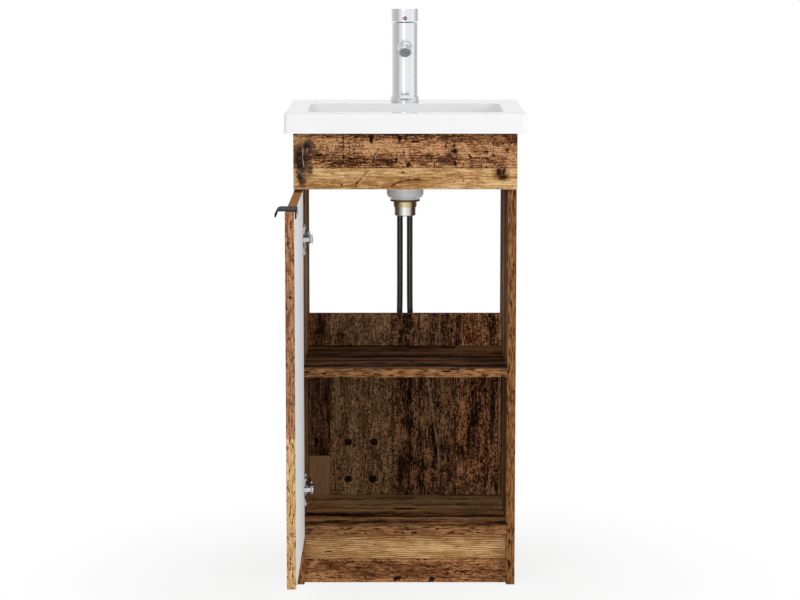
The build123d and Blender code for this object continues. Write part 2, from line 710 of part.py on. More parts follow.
# Waste
def waste_flange():
    """Ring in the bowl's outlet with the threaded tube and the spider that holds the latch."""
    top = SEAT_Z + FLANGE_RING_T
    tube_low = OUTLET_Z - WASTE_TUBE_BELOW
    flange = disc(0, DRAIN_Y, SEAT_Z, top, FLANGE_RING_R)
    flange = fillet(flange.edges().group_by(Axis.Z)[-1], FLANGE_RING_EDGE_R)
    flange += disc(0, DRAIN_Y, tube_low, SEAT_Z, WASTE_TUBE_R)
    flange -= disc(0, DRAIN_Y, tube_low, top, WASTE_BORE_R)
    flange -= disc(0, DRAIN_Y, SEAT_Z + PLUG_SEAT_T, top, PLUG_R + PLUG_GAP)
    spider_z = (SEAT_Z - SPIDER_DROP - SPIDER_H, SEAT_Z - SPIDER_DROP)
    ring = disc(0, DRAIN_Y, *spider_z, WASTE_BORE_R)
    spider = disc(0, DRAIN_Y, *spider_z, LATCH_R + SPIDER_ARM / 2)
    bar = Box(2 * WASTE_BORE_R, SPIDER_ARM, SPIDER_H)
    for number in range(SPIDER_BARS):
        turn = Rot(0, 0, number * 180 / SPIDER_BARS)
        spider += Pos(0, DRAIN_Y, sum(spider_z) / 2) * turn * bar
    flange += spider & ring
    return flange - disc(0, DRAIN_Y, *spider_z, LATCH_R + RUNNING)


def waste_plug():
    """Domed plug on its stem, pushed down on its seat."""
    low = SEAT_Z + PLUG_SEAT_T + SEAL_T / 2
    cap = disc(0, DRAIN_Y, low, low + PLUG_T, PLUG_R)
    cap = fillet(cap.edges().group_by(Axis.Z)[-1], PLUG_T / 2)
    cap -= tube(0, DRAIN_Y, low, low + SEAL_T / 2, SEAL_OUT_R, SEAL_IN_R)
    return cap + disc(0, DRAIN_Y, low - PLUG_STEM_L, low, PLUG_STEM_R)


def plug_latch():
    """Barrel screwed in the spider, which catches the plug's stem."""
    top = SEAT_Z - SPIDER_DROP + SPIDER_ARM
    low = top - LATCH_L
    latch = disc(0, DRAIN_Y, low, top, LATCH_R)
    return latch - disc(0, DRAIN_Y, low + SPIDER_ARM, top, PLUG_STEM_R + RUNNING)


def waste():
    """Everything on the basin's outlet."""
    seal_low = SEAT_Z + PLUG_SEAT_T
    tail_top = NUT_Z
    tail = tube(0, DRAIN_Y, tail_top - TAIL_L, tail_top, TAIL_R, TAIL_BORE_R)
    tail = chamfer(tail.edges().group_by(Axis.Z)[0].sort_by(SortBy.LENGTH)[-1], TAIL_CHAMFER)
    thread_r = WASTE_TUBE_R + RUNNING
    gasket = disc(0, DRAIN_Y, GASKET_Z, OUTLET_Z, GASKET_R)
    gasket = fillet(gasket.edges().filter_by(GeomType.CIRCLE), GASKET_EDGE_R)
    tail -= disc(0, DRAIN_Y, OUTLET_Z - WASTE_TUBE_BELOW - HOLE_OVERDEPTH, tail_top, thread_r)
    return {
        "waste_flange": waste_flange(),
        "waste_plug": waste_plug(),
        "plug_seal": tube(0, DRAIN_Y, seal_low, seal_low + SEAL_T, SEAL_OUT_R, SEAL_IN_R),
        "plug_latch": plug_latch(),
        "drain_gasket": gasket - disc(0, DRAIN_Y, GASKET_Z, OUTLET_Z, thread_r),
        "drain_nut": tube(0, DRAIN_Y, NUT_Z, GASKET_Z, NUT_R, thread_r),
        "drain_tailpiece": tail,
    }


# Tap
def on_outlet(distance):
    """Point on the outlet's axis at a distance from the elbow."""
    return tuple(start + distance * part for start, part in zip(ELBOW, OUTLET_DIR))


def tap_body():
    """Column with the spout, the cartridge's cavity and the waterways."""
    column = disc(0, TAP_Y, BODY_LOW_Z, BODY_TOP_Z, BODY_R)
    column = fillet(column.edges().group_by(Axis.Z)[-1], BODY_EDGE_R)
    spout = rod((0, TAP_Y, ELBOW[2]), (0, -1, 0), SPOUT_R, SPOUT_REACH) + Pos(*ELBOW) * Sphere(SPOUT_R)
    outlet = rod(ELBOW, OUTLET_DIR, OUTLET_TUBE_R, OUTLET_L)
    body = column + spout + outlet
    body -= disc(0, TAP_Y, DECK_Z + CAVITY_LOW, BODY_TOP_Z, CAVITY_R)
    waterway = rod((0, TAP_Y, ELBOW[2]), (0, -1, 0), WATERWAY_R, SPOUT_REACH)
    body -= waterway + Pos(*ELBOW) * Sphere(WATERWAY_R) + rod(ELBOW, OUTLET_DIR, WATERWAY_R, OUTLET_L)
    ring_low = OUTLET_L - AERATOR_RING_L
    body -= rod(on_outlet(ring_low), OUTLET_DIR, AERATOR_RING_R + RUNNING, AERATOR_RING_L)
    for side in (-1, 1):
        hose_x = side * HOSE_SPACING / 2
        thread_top = BODY_LOW_Z + TAIL_THREAD_L + HOLE_OVERDEPTH
        body -= disc(hose_x, TAP_Y, BODY_LOW_Z, thread_top, TAIL_THREAD_R + HOLE_CLEARANCE)
        body -= disc(hose_x, TAP_Y, thread_top, DECK_Z + CAVITY_LOW, INLET_R)
    stud_top = BODY_LOW_Z + STUD_IN_BODY + HOLE_OVERDEPTH
    return body - disc(0, STUD_Y, BODY_LOW_Z, stud_top, STUD_R + HOLE_CLEARANCE)


def tap_base_ring():
    """Ring round the foot of the column, with a sloping top."""
    low = DECK_Z + BASE_GAP
    straight = DECK_Z + BASE_RING_H
    top = straight + BASE_CONE_H
    bore = BODY_R + HOLE_CLEARANCE
    ring = disc(0, TAP_Y, low, straight, BASE_RING_R)
    ring += cone(0, TAP_Y, straight, top, BASE_RING_R, bore + 2 * HOLE_CLEARANCE)
    return ring - disc(0, TAP_Y, low, top, bore)


def aerator():
    """Chrome ring in the outlet and the insert that it holds."""
    low = OUTLET_L - AERATOR_RING_L + HOLE_CLEARANCE
    end = OUTLET_L + AERATOR_SET_BACK
    ring = rod(on_outlet(low), OUTLET_DIR, AERATOR_RING_R, end - low)
    ring -= rod(on_outlet(low), OUTLET_DIR, AERATOR_R, end - low)
    insert_end = OUTLET_L - AERATOR_SET_BACK / 2
    insert = rod(on_outlet(low), OUTLET_DIR, AERATOR_R - RUNNING, insert_end - low)
    return {"aerator_ring": ring, "aerator_insert": insert}


def tap_cap():
    """Hollow cap that turns and tips on the column."""
    cap = disc(0, TAP_Y, CAP_LOW_Z, CAP_TOP_Z, CAP_R)
    cap = fillet(cap.edges().group_by(Axis.Z)[0], CAP_EDGE_R)
    cap -= disc(0, TAP_Y, CAP_LOW_Z, CAP_TOP_Z - CAP_WALL, CAP_R - CAP_WALL)
    hub_low = (CAP_LOW_Z + CAP_TOP_Z) / 2
    socket = STEM_HALF + HOLE_CLEARANCE
    cap += disc(0, TAP_Y, hub_low, CAP_TOP_Z - CAP_WALL, 2 * STEM_HALF)
    cap -= span((-socket, socket), (TAP_Y - socket, TAP_Y + socket), (hub_low, CAP_TOP_Z - CAP_WALL))
    cap -= rod(lever_foot(), (0, -1, 0), LEVER_R / 2 + HOLE_CLEARANCE, CAP_R)
    cap -= rod(index_foot(), (0, -1, 0), INDEX_R + HOLE_CLEARANCE, INDEX_T)
    return cap - rod((0, TAP_Y, hub_low + GRUB_L / 2), (0, 1, 0), GRUB_R + HOLE_CLEARANCE, CAP_R)


def lever_foot():
    """Where the lever's thread begins, in the cap's wall."""
    return (0, TAP_Y - CAP_R + CAP_WALL, CAP_TOP_Z - LEVER_FROM_TOP)


def index_foot():
    """Middle of the index disc's back."""
    return (0, TAP_Y - CAP_R + INDEX_T, CAP_TOP_Z - INDEX_FROM_TOP)


def tap_lever():
    """Pin lever that stands out of the front of the cap."""
    x, y, z = lever_foot()
    outside = TAP_Y - CAP_R - HOLE_CLEARANCE
    pin = rod((x, outside, z), (0, -1, 0), LEVER_R, LEVER_L)
    pin = fillet(pin.edges().group_by(Axis.Y)[0], BODY_EDGE_R)
    return pin + rod((x, outside, z), (0, 1, 0), LEVER_R / 2, CAP_WALL)


def cartridge():
    """Cartridge body, turning guide, lifting stem and the nut that holds them down."""
    low = DECK_Z + CAVITY_LOW + HOLE_CLEARANCE
    top = low + CARTRIDGE_L
    floor = low + CARTRIDGE_L - GUIDE_L
    body = disc(0, TAP_Y, low, top, CARTRIDGE_R) - disc(0, TAP_Y, floor, top, CARTRIDGE_BORE_R)
    for side in (-1, 1):
        body -= disc(side * HOSE_SPACING / 2, TAP_Y, low, floor, INLET_R)
    guide_low = floor + HOLE_CLEARANCE
    guide = disc(0, TAP_Y, guide_low, top, GUIDE_R)
    slot_y = (TAP_Y - GUIDE_SLOT_Y / 2, TAP_Y + GUIDE_SLOT_Y / 2)
    guide -= span((-GUIDE_SLOT_X, GUIDE_SLOT_X), slot_y, (top - GUIDE_L / 2, top))
    stem_y = (TAP_Y - STEM_HALF, TAP_Y + STEM_HALF)
    stem_z = (BODY_TOP_Z - STEM_LOW, CAP_TOP_Z - CAP_WALL - HOLE_CLEARANCE)
    stem = span((-STEM_HALF, STEM_HALF), stem_y, stem_z)
    nut_top = BODY_TOP_Z - HOLE_CLEARANCE
    nut = tube(0, TAP_Y, top + HOLE_CLEARANCE, nut_top, CARTRIDGE_R, CARTRIDGE_NUT_IN_R)
    return {
        "cartridge_body": body,
        "cartridge_guide": guide,
        "cartridge_stem": stem,
        "cartridge_nut": nut,
    }


def horseshoe(low):
    """Plate under the deck, open at the back for the hoses."""
    high = low + HORSESHOE_T
    plate = disc(0, TAP_Y, low, high, HORSESHOE_R)
    slot = (-HORSESHOE_SLOT_HALF, HORSESHOE_SLOT_HALF)
    plate -= span(slot, (TAP_Y + HORSESHOE_SLOT_FROM, TAP_Y + HORSESHOE_R), (low, high))
    return plate - disc(0, STUD_Y, low, high, STUD_R + HOLE_CLEARANCE)


def tap_fixing():
    """Seal under the column, and the stud that clamps the tap to the deck."""
    seal = tube(0, TAP_Y, DECK_Z, BODY_LOW_Z, BODY_R - HOLE_CLEARANCE, TAP_HOLE_R)
    stud_top = BODY_LOW_Z + STUD_IN_BODY
    seal_low = DECK_UNDER_Z - HORSESHOE_T
    plate_low = seal_low - HORSESHOE_T
    nut_low = plate_low - STUD_NUT_H
    nut_outline = RegularPolygon(STUD_NUT_R, 6) - Circle(STUD_R + RUNNING)
    return {
        "tap_base_seal": seal,
        "tap_stud": disc(0, STUD_Y, stud_top - STUD_L, stud_top, STUD_R),
        "horseshoe_seal": horseshoe(seal_low),
        "horseshoe_plate": horseshoe(plate_low),
        "stud_nut": Pos(0, STUD_Y, nut_low) * extrude(nut_outline, amount=STUD_NUT_H),
    }


def tap():
    """Everything on the tap but its fixing and hoses."""
    grub_y = TAP_Y + STEM_HALF + HOLE_CLEARANCE
    grub_z = (CAP_LOW_Z + CAP_TOP_Z) / 2 + GRUB_L / 2
    return {
        "tap_body": tap_body(),
        "tap_base_ring": tap_base_ring(),
        **aerator(),
        "tap_cap": tap_cap(),
        "tap_lever": tap_lever(),
        "temperature_index": rod(index_foot(), (0, -1, 0), INDEX_R, INDEX_T),
        "cap_grub_screw": rod((0, grub_y, grub_z), (0, 1, 0), GRUB_R, GRUB_L),
        **cartridge(),
    }


# Hoses
def hose_points(side):
    """Route of one hose, from its ferrule to its nut."""
    start_x = HOSE_SPACING / 2
    return [Vector(side * (start_x + x), TAP_Y + y, FERRULE_LOW_Z - down) for x, y, down in HOSE_ROUTE]


def hose(side):
    """Round tube along the route."""
    points = hose_points(side)
    radii = []
    for before, here, after in zip(points, points[1:], points[2:]):
        turn = math.radians((here - before).get_angle(after - here))
        shorter = min((here - before).length, (after - here).length)
        radii.append(ARC_SHARE * shorter / math.tan(turn / 2))
    path = FilletPolyline(*points, radius=radii)
    section = Plane(origin=points[0], z_dir=points[1] - points[0]) * Circle(HOSE_R)
    solid = sweep(section, path=path)
    expected = math.pi * HOSE_R**2 * path.length
    print("hose radii", [round(radius) for radius in radii])
    print("hose length", round(path.length, 1), "volume ratio", round(solid.volume / expected, 5))
    return solid


def hose_nut(side):
    """Union nut with its collar, along the hose's last run."""
    before, end = hose_points(side)[-2:]
    face = Plane(origin=end, z_dir=end - before)
    collar = face * rod((0, 0, 0), (0, 0, 1), HOSE_NUT_COLLAR_R, HOSE_NUT_COLLAR_H)
    outline = RegularPolygon(HOSE_NUT_R, 6, major_radius=False)
    hexagon = face * Pos(0, 0, HOSE_NUT_COLLAR_H) * extrude(outline, HOSE_NUT_H)
    length = HOSE_NUT_COLLAR_H + HOSE_NUT_H
    thread = face * rod((0, 0, length - HOSE_THREAD_DEPTH), (0, 0, 1), HOSE_THREAD_R, HOSE_THREAD_DEPTH)
    return collar + hexagon - thread


def hose_tail(side):
    """Ferrule on the hose's end with the thread that screws in the tap."""
    x = side * HOSE_SPACING / 2
    ferrule = disc(x, TAP_Y, FERRULE_LOW_Z, BODY_LOW_Z, FERRULE_R)
    return ferrule + disc(x, TAP_Y, BODY_LOW_Z, BODY_LOW_Z + TAIL_THREAD_L, TAIL_THREAD_R)


def hoses():
    """Hot and cold hoses with their ends."""
    pieces = {"hose_tails": [hose_tail(side) for side in (-1, 1)]}
    for side, name in ((-1, "hot"), (1, "cold")):
        pieces[f"hose_{name}"] = hose(side)
        pieces[f"hose_nut_{name}"] = hose_nut(side)
    return pieces


os.makedirs("parts", exist_ok=True)
parts = {
    **cabinet(),
    **door(),
    **hinges(),
    "basin": basin(),
    **waste(),
    **tap(),
    **tap_fixing(),
    **hoses(),
}
for node, shape in parts.items():
    solids = shape if isinstance(shape, list) else [shape]
    found = [Pos(0, -ORIGIN_Y, 0) * solid for item in solids for solid in item.solids()]
    export_step(found[0] if len(found) == 1 else Compound(children=found), f"parts/{node}.step")
print(len(parts), "nodes")
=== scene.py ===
from math import degrees, pi, radians

import bmesh
import bpy
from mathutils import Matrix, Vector


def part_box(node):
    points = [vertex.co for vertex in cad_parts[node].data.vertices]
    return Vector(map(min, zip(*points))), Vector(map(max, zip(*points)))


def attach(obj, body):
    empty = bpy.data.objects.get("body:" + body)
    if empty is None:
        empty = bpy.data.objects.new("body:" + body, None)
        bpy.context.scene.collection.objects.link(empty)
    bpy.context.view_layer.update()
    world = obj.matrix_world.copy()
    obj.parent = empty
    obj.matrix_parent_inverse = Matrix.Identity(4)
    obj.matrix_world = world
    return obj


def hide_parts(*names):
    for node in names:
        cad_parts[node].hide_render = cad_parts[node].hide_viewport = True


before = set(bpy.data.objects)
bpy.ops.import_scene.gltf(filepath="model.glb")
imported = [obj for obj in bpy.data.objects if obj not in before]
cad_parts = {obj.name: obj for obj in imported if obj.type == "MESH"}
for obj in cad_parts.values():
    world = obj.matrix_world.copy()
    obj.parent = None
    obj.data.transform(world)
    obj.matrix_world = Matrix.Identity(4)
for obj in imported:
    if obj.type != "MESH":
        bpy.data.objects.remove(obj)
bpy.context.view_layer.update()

# Camera
# It stands a little above the tap's height, four and a half metres in front of the unit, with a long lens,
# and looks slightly down.
camera = bpy.data.objects.new("camera", bpy.data.cameras.new("camera"))
camera.data.sensor_width = 36
camera.data.lens = 116.2
camera.location = (-0.0125, -4.464, 1.115)
camera.rotation_euler = (radians(82.19), 0, radians(-0.043))
bpy.context.scene.collection.objects.link(camera)
bpy.context.scene.camera = camera
bpy.context.scene.view_settings.view_transform = "Standard"


# Supply hoses
# Two flexible hoses hang from the tap's foot, straight down behind the boards, to the nuts that go on the
# wall valves. Each is a rubber hose in a tight black braid.
def tone(code):
    """Colour of a web code, as the shaders take it."""
    parts = [int(code[at:at + 2], 16) / 255 for at in (0, 2, 4)]
    return (*[part / 12.92 if part < 0.04045 else ((part + 0.055) / 1.055) ** 2.4 for part in parts], 1)


class Wire:
    """A value in a shader. Sums, differences, products and comparisons of it add Math nodes."""

    def __init__(self, nodes, socket):
        self.nodes = nodes
        self.socket = socket

    def __add__(self, other):
        return self.nodes.maths("ADD", self, other)

    __radd__ = __add__

    def __sub__(self, other):
        return self.nodes.maths("SUBTRACT", self, other)

    def __rsub__(self, other):
        return self.nodes.maths("SUBTRACT", other, self)

    def __mul__(self, other):
        return self.nodes.maths("MULTIPLY", self, other)

    __rmul__ = __mul__

    def __gt__(self, other):
        return self.nodes.maths("GREATER_THAN", self, other)

    def __lt__(self, other):
        return self.nodes.maths("LESS_THAN", self, other)

    def __abs__(self):
        return self.nodes.maths("ABSOLUTE", self)

    def held(self):
        """The value, held between nought and one."""
        return self.nodes.node("Clamp", {}, {0: self})


class Nodes:
    """A node tree, and the few kinds of node that the finishes are drawn with."""

    def __init__(self, tree):
        self.tree = tree

    def node(self, kind, settings, inputs, output=0):
        made = self.tree.nodes.new("ShaderNode" + kind)
        for name, value in settings.items():
            if name == "stops":
                for place, grey in value[1:-1]:
                    made.color_ramp.elements.new(place)
                for stop, (place, grey) in zip(made.color_ramp.elements, value):
                    stop.position = place
                    stop.color = (grey, grey, grey, 1)
            else:
                setattr(made, name, value)
        for name, value in inputs.items():
            self.feed(made.inputs[name], value)
        return Wire(self, made.outputs[output])

    def feed(self, socket, value):
        if isinstance(value, Wire):
            self.tree.links.new(value.socket, socket)
        else:
            socket.default_value = value

    def maths(self, operation, *values):
        return self.node("Math", {"operation": operation}, dict(enumerate(values)))

    def most(self, *values):
        """The largest of some values."""
        largest = values[0]
        for value in values[1:]:
            largest = self.maths("MAXIMUM", largest, value)
        return largest

    def mix(self, factor, first, second):
        """One colour laid over another."""
        return self.node("Mix", {"data_type": "RGBA"}, {0: factor, 6: first, 7: second}, 2)

    def join(self, x, y, z):
        return self.node("CombineXYZ", {}, {0: x, 1: y, 2: z})

    def split(self, vector):
        made = self.node("SeparateXYZ", {}, {0: vector}).socket.node
        return [Wire(self, socket) for socket in made.outputs]

    def noise(self, vector, scale, detail=2.0, roughness=0.5, output=0):
        values = {"Vector": vector, "Scale": scale, "Detail": detail, "Roughness": roughness}
        return self.node("TexNoise", {}, values, output)


class Finish(Nodes):
    """A material whose fixed values are set on its shader."""

    def __init__(self, name, values):
        self.material = bpy.data.materials.new(name)
        self.material.use_nodes = True
        super().__init__(self.material.node_tree)
        self.shader = self.tree.nodes["Principled BSDF"]
        self.paint(values)
        self.place = self.node("TexCoord", {}, {}, "Object")

    def paint(self, values):
        for name, value in values.items():
            self.feed(self.shader.inputs[name], value)

    def relief(self, height, depth, strength=1.0):
        """Surface relief of the height, in metres."""
        values = {"Height": height, "Distance": depth, "Strength": strength}
        self.paint({"Normal": self.node("Bump", {}, values)})

    def on(self, *names):
        """Puts the finish on CAD nodes."""
        for name in names:
            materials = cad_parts[name].data.materials
            materials.clear()
            materials.append(self.material)


def braid():
    finish = Finish("black braid", {"Specular IOR Level": 0.8})
    x, y, z = finish.split(finish.place)
    strand_waves = 2600
    strands = []
    for hand in (-1, 1):
        strands.append(finish.maths("SINE", (z + (x + y) * hand) * strand_waves))
    weave = finish.most(*strands)
    dust = finish.noise(finish.place, 900, 2)
    colour = finish.mix(weave.held(), tone("101010"), tone("333333"))
    finish.paint({
        "Base Color": finish.mix(dust * 0.4, colour, tone("444443")),
        "Roughness": 0.3 - weave * 0.06,
    })
    finish.relief(weave, 0.0004, 0.15)
    return finish


hose_finish = braid()
hose_route = [
    (0.0091, 0.2835, 0.8061),
    (0.0091, 0.2835, 0.7011),
    (0.0091, 0.2840, 0.5861),
    (0.0091, 0.2838, 0.4711),
    (0.0097, 0.2840, 0.4341),
    (0.0125, 0.2845, 0.4061),
    (0.0153, 0.2848, 0.3801),
]
for side, name in ((-1, "hot"), (1, "cold")):
    curve = bpy.data.curves.new("hose_" + name, "CURVE")
    curve.dimensions = "3D"
    curve.bevel_depth = 0.0055
    curve.bevel_resolution = 5
    curve.resolution_u = 24
    curve.use_fill_caps = True
    spline = curve.splines.new("NURBS")
    spline.points.add(len(hose_route) - 1)
    for point, (x, y, z) in zip(spline.points, hose_route):
        point.co = (side * x, y, z, 1)
    spline.order_u = 3
    spline.use_endpoint_u = True
    curve.materials.append(hose_finish.material)
    hose = bpy.data.objects.new("supply_hose_" + name, curve)
    bpy.context.scene.collection.objects.link(hose)
    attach(hose, "cabinet")
    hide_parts("hose_" + name)


# Old-wood print
# All boards are chipboard with a printed paper of reclaimed planks: worn fibres, fine cracks across them,
# charred patches, nail holes and knots. The apron is the board under the basin's front.
class OldWood(Finish):
    """Print with its fibres along one axis and its planks stacked on another."""

    def __init__(self, name, fibres, stack):
        super().__init__(name, {"Specular IOR Level": 0.03})
        axes = self.split(self.place)
        self.along = axes[fibres]
        self.across = axes[stack]
        self.through = axes[3 - fibres - stack]
        wander = self.split(self.noise(self.place, 130, 3, 0.65, "Color"))
        ragged = [(part - 0.5) * 0.011 for part in wander]
        self.face = self.join(self.along + ragged[0], self.across + ragged[1], 0.0)
        self.fine = self.join(self.along + ragged[0] * 0.3, self.across + ragged[1] * 0.3, 0.0)
        self.edge = self.join(self.along + ragged[0], self.through + ragged[1] * 0.4, 0.0)
        self.worn = self.noise(self.place, 15, 2)

    def strokes(self, shift, along, across, detail=2.0, sway=0.0):
        """Noise in strokes, in waves per metre along and across the fibres."""
        vector = self.join(self.along * along, self.across * across, self.through * across + shift)
        values = {"Vector": vector, "Scale": 1.0, "Detail": detail, "Roughness": 0.6, "Distortion": sway}
        return self.node("TexNoise", {}, values)

    def planks(self, rows, streak=2.2):
        """Planks, each with its far edge, its dark, middle and light tones, and how rough it is worn."""
        edges = [row[0] for row in rows[:-1]]
        past = [self.across > edge for edge in edges]
        shift = 0.0
        rough = rows[0][4]
        for before, row, step in zip(rows, rows[1:], past):
            shift = step * 17.3 + shift
            rough = step * (row[4] - before[4]) + rough
        self.thread = self.strokes(shift, 34, 420, 3)
        broad = self.strokes(shift, 3, 42)
        cloud = self.strokes(shift, 30, 48, 3)
        short = self.strokes(shift, 190, 480, 3, 0.8)
        level = (self.thread - 0.5) * 2.6 + (broad - 0.5) * streak + (cloud - 0.5) * 1.7 + 0.57
        level = (level + (short - 0.52) * (self.worn * 5.5 + 0.6) * rough).held()
        lower = (level * 2).held()
        upper = (level * 2 - 1).held()
        colour = None
        for row, step in zip(rows, [None] + past):
            dark, middle, light = [tone(code) for code in row[1:4]]
            plank = self.mix(upper, self.mix(lower, dark, middle), light)
            colour = plank if colour is None else self.mix(step, colour, plank)
        for edge in edges:
            seam = (1.3 - abs(self.across - edge + (self.thread - 0.5) * 0.0008) * 1400).held()
            colour = self.mix(seam * 0.8, colour, tone("180F09"))
        return colour

    def flecks(self, colour, share, length=80, dark="1E120B", breadth=430):
        """Short dark flecks along the fibres. A smaller share gives more of them."""
        spots = self.strokes(4.7, length, breadth)
        return self.mix(((spots - share) * 18).held() * 0.9, colour, tone(dark))

    def curls(self, colour, share, dark, depth=0.7):
        """Thin curled lines, as beetles and wear leave them, in patches."""
        field = self.strokes(8.3, 110, 210, 1.0, 1.6)
        line = (1.0 - abs(field - 0.5) * 42).held()
        patch = ((self.strokes(3.1, 17, 33) - share) * 9).held()
        return self.mix(line * patch * depth, colour, tone(dark))

    def specks(self, colour, share, dark="1C130C", scale=330):
        """Round dark specks. A smaller share gives more of them."""
        dots = self.noise(self.place, scale, 1)
        return self.mix(((dots - share) * 16).held() * 0.85, colour, tone(dark))

    def checks(self, colour, share, depth=0.6):
        """Fine cracks across the fibres, in patches."""
        ticks = self.noise(self.join(self.along * 420, self.across * 90, self.through * 90), 1.0, 2.0)
        patch = self.noise(self.join(self.along * 14, self.across * 30, self.through * 30 + 9), 1.0, 3.0)
        amount = ((ticks - 0.54) * 9).held() * ((patch - share) * 9).held()
        return self.mix(amount * depth, colour, tone("1E120B"))

    def rings(self, colour, low, high, pitch, depth, dark):
        """Growth rings as thin wavy lines along the fibres, between two places across them."""
        sway = self.strokes(2.0, 3, 12) * 0.034 + self.strokes(5.0, 16, 70) * 0.004
        wave = self.maths("SINE", (self.across + sway) * (2 * pi / pitch))
        inside = (self.across > low) * (self.across < high)
        broken = (self.strokes(6.0, 30, 160) * 2.0 - 0.2).held()
        return self.mix(((wave - 0.1) * 1.5).held() * inside * broken * depth, colour, tone(dark))

    def marks(self, colour, rows, dark="100B08", depth=0.95, soft=3.0, flat=None):
        """Worn, burnt or split places: their middle, half sizes and turn, in millimetres and degrees.

        They are drawn on the ragged face, or on the plane given as flat.
        """
        inside = []
        for along, across, half_along, half_across, *turn in rows:
            placed = self.node("Mapping", {"vector_type": "TEXTURE"}, {
                "Vector": flat or self.face,
                "Location": (along / 1000, across / 1000, 0),
                "Rotation": (0, 0, radians(sum(turn))),
                "Scale": (half_along / 1000, half_across / 1000, 1),
            })
            inside.append(1 - self.node("VectorMath", {"operation": "LENGTH"}, {0: placed}, "Value"))
        return self.mix((self.most(*inside) * soft).held() * depth, colour, tone(dark))

    def cracks(self, colour, runs, half, dark="1A0E08", depth=0.85):
        """Thin cracks through the given places, each a row of points in millimetres."""
        rows = []
        for run in runs:
            for start, end in zip(run, run[1:]):
                step = Vector(end) - Vector(start)
                middle = (Vector(end) + Vector(start)) / 2
                turn = degrees(step.to_2d().angle_signed(Vector((1, 0))))
                rows.append((*middle, step.length * 0.62, half, turn))
        return self.marks(colour, rows, dark, depth, 2.5, self.fine)

    def edging(self, colour, face, rows, flecks=0.6):
        """Edge strip where the face mask is set, with its own plain print, in rows along the fibres.

        Each row begins at its start. The first one's start is not read, as it lies below the others.
        """
        print_level = ((self.strokes(31.0, 50, 420) - 0.5) * 4.2 + 0.5).held()
        strip = None
        for start, dark, light in rows:
            row = self.mix(print_level, tone(dark), tone(light))
            strip = row if strip is None else self.mix(self.along > start, strip, row)
        strip = self.flecks(strip, flecks, 70, "1C0E07", 270)
        strip = self.curls(strip, 0.45, "4A2A17", 0.5)
        return self.mix(face, colour, strip)

    def finished(self, colour):
        """Paints the print with its soft sheen and light embossing."""
        self.paint({"Base Color": colour, "Roughness": 0.78 + self.thread * 0.2})
        self.relief(self.thread, 0.00025, 0.6)
        return self


apron_print = OldWood("apron print", 0, 2)
apron_joint = 0.7371
colour = apron_print.planks([
    (apron_joint, "8E6238", "BA9262", "DAB684", 0.55),
    (0.7970, "3A1F10", "8A5C3A", "C49468", 1.0),
])
reddish = apron_print.across > apron_joint
colour = apron_print.mix(
    reddish,
    apron_print.rings(colour, 0.69, apron_joint, 0.0062, 0.35, "7A4E26"),
    apron_print.checks(apron_print.curls(apron_print.flecks(colour, 0.62, 120), 0.44, "26130B"), 0.43, 0.85),
)
colour = apron_print.flecks(colour, 0.68, 60)
colour = apron_print.marks(colour, [
    (-176, 752, 19, 42, 4),
    (-166, 777, 14, 15),
    (-157, 765, 14, 4),
    (-146, 757, 14, 3),
    (-176, 714, 8, 14),
    (-52, 757, 3.5, 16, -25),
    (66, 750, 9, 8),
    (83, 765, 9, 5),
], "3A2820", 0.75, 2.0)
colour = apron_print.marks(colour, [
    (-58.5, 787, 4.2, 7.5),
    (-9.6, 788, 4.2, 7.8),
    (-94.3, 752, 3.4, 3.2),
    (-15.7, 752, 3.6, 3.4),
    (5.2, 743, 5.6, 4.2),
    (-106, 757, 2.2, 3),
    (69.9, 777, 2.0, 6.5),
    (83, 776, 4.5, 2.2),
    (84, 766, 6, 3.2),
    (85.6, 744, 2.4, 6.5),
    (76, 758, 5.5, 1.8),
    (112, 757, 4.2, 2.6),
    (139, 764, 6, 2.2),
    (152, 759, 3.4, 2.0, -30),
    (15, 782, 4.6, 1.6),
    (24, 772, 2.2, 1.8),
    (-150, 760, 10, 2.2),
    (-83, 711.5, 3, 2.6),
    (-3.5, 729, 3.4, 1.6),
    (-7, 719.6, 4, 1.2),
    (84, 714.4, 1.9, 1.8),
    (100, 714.4, 1.9, 1.8),
    (-109, 708, 1.8, 2.6),
])
char = apron_print.marks(colour, [
    (-180, 748, 12, 34, 4),
    (-182, 722, 9, 18, 10),
    (-169, 773, 12, 14),
    (-164, 733, 7, 9),
], "1C1614", 0.95, 1.7)
colour = apron_print.mix((apron_print.strokes(12.0, 150, 190, 3) * 2.4 - 0.35).held(), colour, char)
colour = apron_print.marks(colour, [
    (164, 727, 19, 17),
    (-178, 712, 6, 4),
], "5A2E1A", 0.85, 1.5)
colour = apron_print.marks(colour, [
    (161, 729, 6, 9, 14),
    (169, 721, 10, 6, 12),
    (169, 731, 3.5, 9, -18),
], "1C0E08", 0.9, 2.0, apron_print.fine)
colour = apron_print.cracks(colour, [
    [(-43.7, 773), (-52, 757), (-59.4, 740)],
    [(-62.9, 734), (-73, 722), (-84, 710), (-87, 701)],
    [(-106.6, 794), (-106.2, 768), (-107, 741)],
    [(86, 792), (84, 770)],
], 1.1)
colour = apron_print.cracks(colour, [
    [(-25, 705), (-15.7, 710.5), (-2.6, 715), (12, 717), (29, 717)],
], 2.2, "4A1E12")
colour = apron_print.cracks(colour, [
    [(-175.6, 773), (-176.5, 755), (-174, 738)],
    [(-167, 772), (-169.5, 763)],
    [(-47, 768), (-53, 752)],
], 0.9, "C0A58E", 0.7)
# Painted shadow: a ragged dark line along the apron's top edge stands in for the shade under the basin's
# overhang.
shadow_line_from = 0.7948
basin_shadow_line = ((apron_print.across - shadow_line_from + (apron_print.thread - 0.5) * 0.004) * 900).held()
colour = apron_print.mix(basin_shadow_line * 0.75, colour, tone("1C110B"))
apron_print.finished(colour).on("apron")


